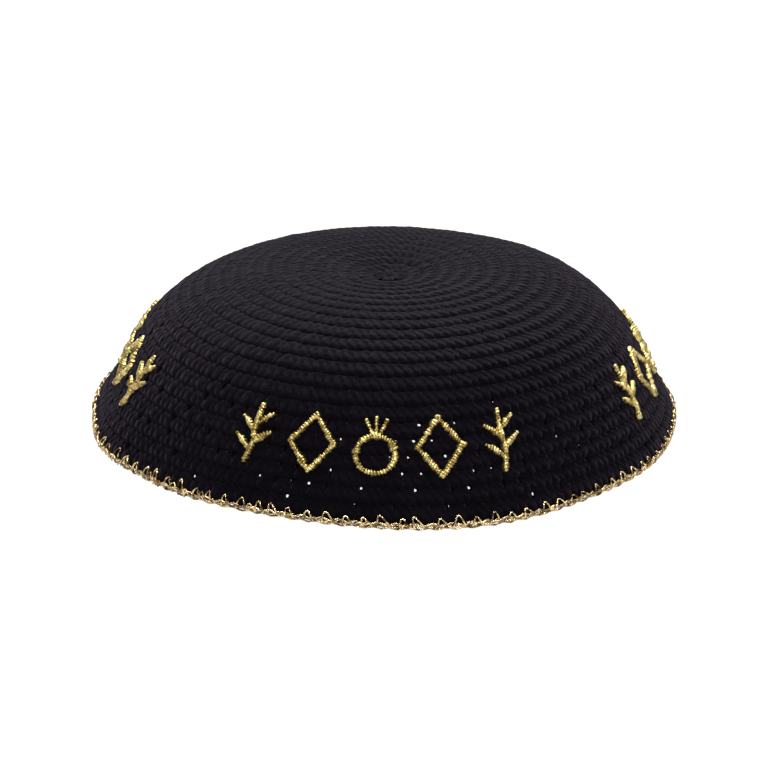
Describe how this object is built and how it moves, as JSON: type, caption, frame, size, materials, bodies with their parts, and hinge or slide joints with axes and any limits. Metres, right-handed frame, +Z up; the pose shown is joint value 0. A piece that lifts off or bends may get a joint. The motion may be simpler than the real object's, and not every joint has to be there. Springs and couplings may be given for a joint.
{
  "type": "kippah skullcap",
  "caption": "Round crocheted skullcap, ribbed in rounds and open below, with a gold thread edging and a band of raised gold embroidery. It rests on the crown of the head.",
  "frame": {"origin": "middle of the cap's round edge, on the surface that it rests on", "axes": "+Z up through the crown; the front of the cap faces -Y and +X is to the right of someone who looks at the front"},
  "size_m": [0.1718, 0.1719, 0.0466],
  "materials": {
    "black_yarn": "matt crocheted yarn with a soft fibrous sheen",
    "gold_edging_thread": "thin metallised thread with small bright highlights",
    "gold_embroidery_thread": "satin stitches of metallised thread, a soft gold lustre"
  },
  "bodies": {
    "root": {"crown": "black_yarn", "gold_edging": "gold_edging_thread", "sprig_1_1": "gold_embroidery_thread", "lozenge_1_2": "gold_embroidery_thread", "fruit_1_3": "gold_embroidery_thread", "lozenge_1_4": "gold_embroidery_thread", "sprig_1_5": "gold_embroidery_thread", "sprig_2_1": "gold_embroidery_thread", "lozenge_2_2": "gold_embroidery_thread", "fruit_2_3": "gold_embroidery_thread", "lozenge_2_4": "gold_embroidery_thread", "sprig_2_5": "gold_embroidery_thread", "sprig_3_1": "gold_embroidery_thread", "lozenge_3_2": "gold_embroidery_thread", "fruit_3_3": "gold_embroidery_thread", "lozenge_3_4": "gold_embroidery_thread", "sprig_3_5": "gold_embroidery_thread", "sprig_4_1": "gold_embroidery_thread", "lozenge_4_2": "gold_embroidery_thread", "fruit_4_3": "gold_embroidery_thread", "lozenge_4_4": "gold_embroidery_thread", "sprig_4_5": "gold_embroidery_thread"}
  },
  "joints": []
}
